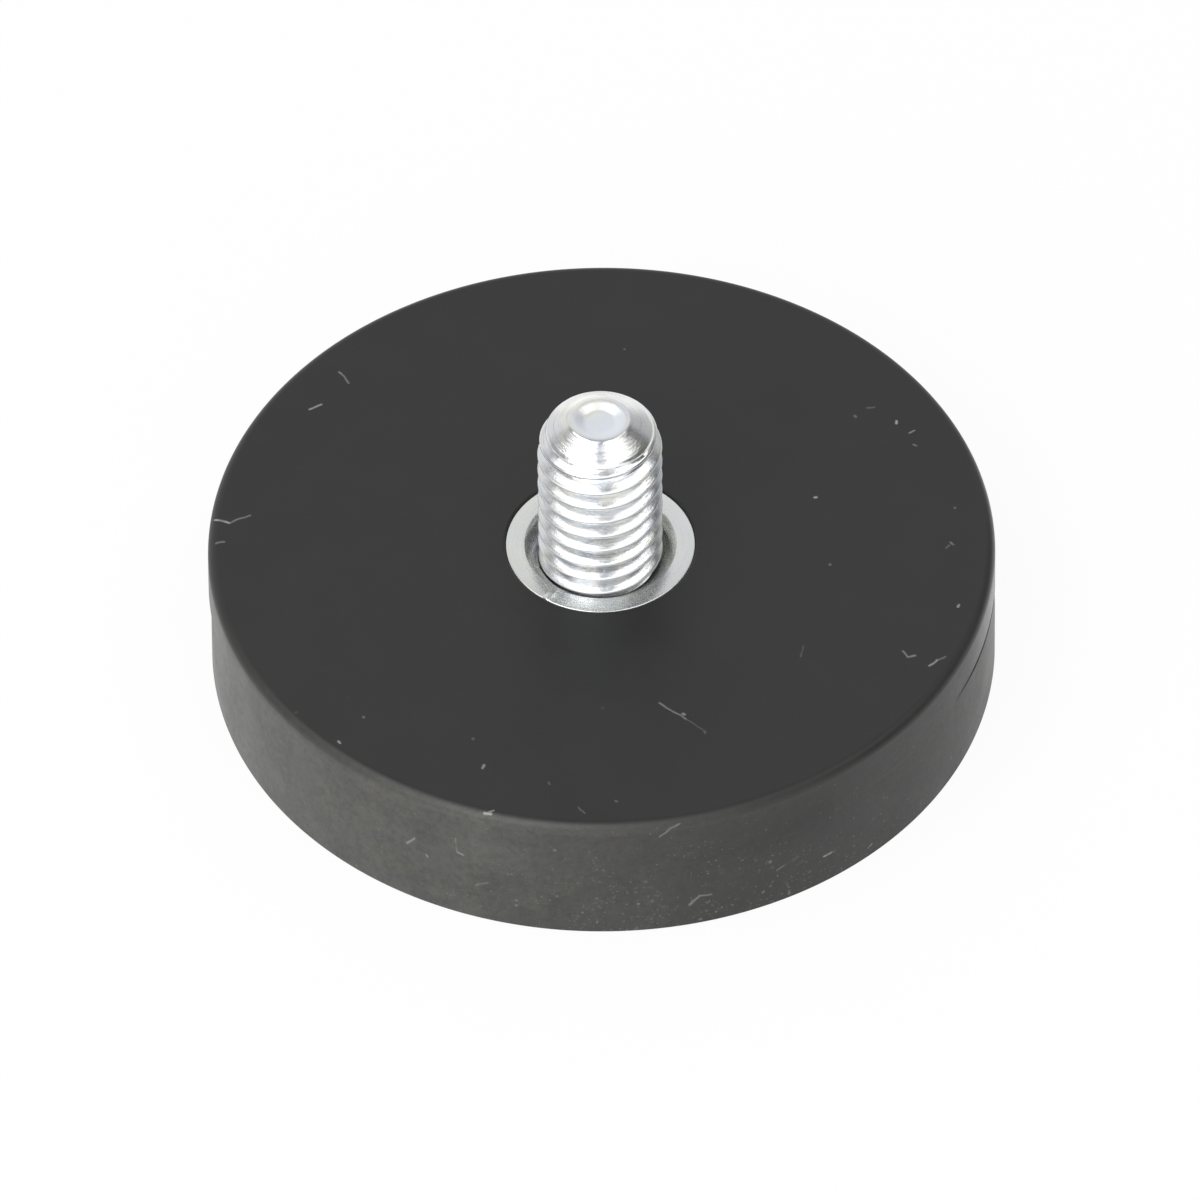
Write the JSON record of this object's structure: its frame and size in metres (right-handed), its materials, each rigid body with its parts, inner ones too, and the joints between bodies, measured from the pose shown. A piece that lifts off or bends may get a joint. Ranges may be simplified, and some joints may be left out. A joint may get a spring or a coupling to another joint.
{
  "type": "pot magnet with threaded stud",
  "caption": "Flat round holding magnet in a moulded rubber jacket, with a zinc-plated threaded stud standing from a steel bush at its centre.",
  "frame": {"origin": "centre of the flat magnet face, the face that grips steel", "axes": "+Z along the stud, from the magnet face towards the stud's tip; +X towards the side that the lower mould half is shifted to"},
  "size_m": [0.0311, 0.031, 0.013],
  "materials": {
    "rubber": "matt black moulded rubber with fine dust and lint",
    "plate_steel": "plain cold-rolled steel",
    "bush_zinc": "turned steel, bright zinc plated",
    "stud_zinc": "rolled thread, bright zinc plated",
    "magnet_nickel": "nickel plated"
  },
  "bodies": {
    "root": {"rubber_jacket": "rubber", "back_plate": "plate_steel", "threaded_bush": "bush_zinc", "threaded_stud": "stud_zinc", "magnet_1": "magnet_nickel", "magnet_2": "magnet_nickel", "magnet_3": "magnet_nickel", "magnet_4": "magnet_nickel", "magnet_5": "magnet_nickel", "magnet_6": "magnet_nickel"}
  },
  "joints": []
}
